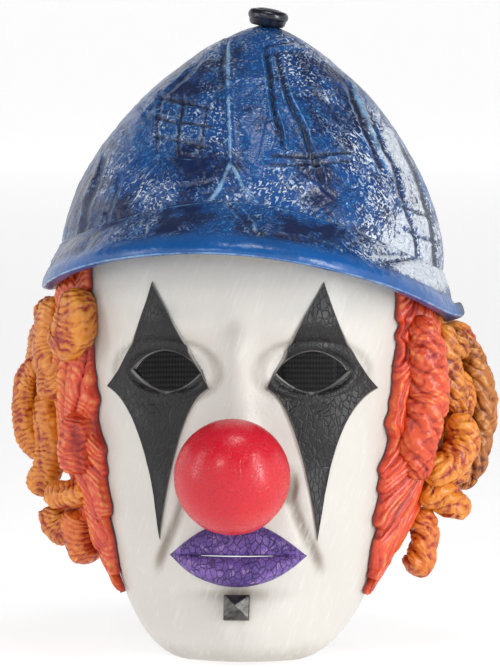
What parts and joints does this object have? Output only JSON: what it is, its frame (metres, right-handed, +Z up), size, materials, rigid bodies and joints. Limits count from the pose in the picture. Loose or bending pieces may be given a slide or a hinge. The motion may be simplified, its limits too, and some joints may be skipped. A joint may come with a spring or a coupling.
{
  "type": "latex costume mask",
  "caption": "Three-quarter latex clown mask with ball nose, floppy cap, curled side hair, eye and mouth openings and an adjustable elastic strap on rivets.",
  "frame": {"origin": "centre of the head space on the eye line, where a wearer's or a display head's centre lies", "axes": "+Z up along the head, the face looks along -Y, +X on the right of a person who looks at the face"},
  "size_m": [0.2259, 0.2578, 0.297],
  "materials": {
    "white_latex": "satin",
    "black_patch": "satin",
    "purple_latex": "satin",
    "red_sponge": "satin",
    "blue_latex": "gloss",
    "orange_latex": "gloss",
    "black_gloss": "gloss",
    "pewter": "satin",
    "steel": "satin",
    "foam": "matte",
    "elastic": "matte",
    "black_plastic": "satin"
  },
  "bodies": {
    "mask": {"face_skin": "white_latex", "eye_patch_left": "black_patch", "eye_patch_right": "black_patch", "upper_lip": "purple_latex", "lower_lip": "purple_latex", "nose_ball": "red_sponge", "chin_stud": "pewter", "stud_backing": "steel", "cap_crown": "blue_latex", "cap_bill": "blue_latex", "cap_button": "black_gloss", "hair_panel_left": "orange_latex", "hair_panel_right": "orange_latex", "cap_band": "foam", "forehead_pad": "foam", "temple_pad_left": "foam", "temple_pad_right": "foam", "crown_pad": "foam", "rivet_left": "steel", "rivet_right": "steel", "washer_left": "steel", "washer_right": "steel", "hair_lock_left_1": "orange_latex", "hair_lock_left_2": "orange_latex", "hair_lock_left_3": "orange_latex", "hair_lock_left_4": "orange_latex", "hair_lock_left_5": "orange_latex", "hair_lock_left_6": "orange_latex", "hair_lock_left_7": "orange_latex", "hair_lock_left_8": "orange_latex", "hair_lock_left_9": "orange_latex", "hair_lock_left_10": "orange_latex", "hair_lock_left_11": "orange_latex", "hair_lock_right_1": "orange_latex", "hair_lock_right_2": "orange_latex", "hair_lock_right_3": "orange_latex", "hair_lock_right_4": "orange_latex", "hair_lock_right_5": "orange_latex", "hair_lock_right_6": "orange_latex", "hair_lock_right_7": "orange_latex", "hair_lock_right_8": "orange_latex", "hair_lock_right_9": "orange_latex", "hair_lock_right_10": "orange_latex", "hair_lock_right_11": "orange_latex"},
    "strap": {"elastic_strap": "elastic"},
    "slider": {"strap_slider": "black_plastic"}
  },
  "joints": [
    {"name": "strap_swing", "type": "hinge", "parent": "mask", "child": "strap", "pos_m": [0, 0.048, -0.017], "axis": [1, 0, 0], "range_deg": [-70, 12]},
    {"name": "slider_slide", "type": "slide", "parent": "strap", "child": "slider", "axis": [1, 0, 0], "range_m": [-0.024, 0.021]}
  ]
}
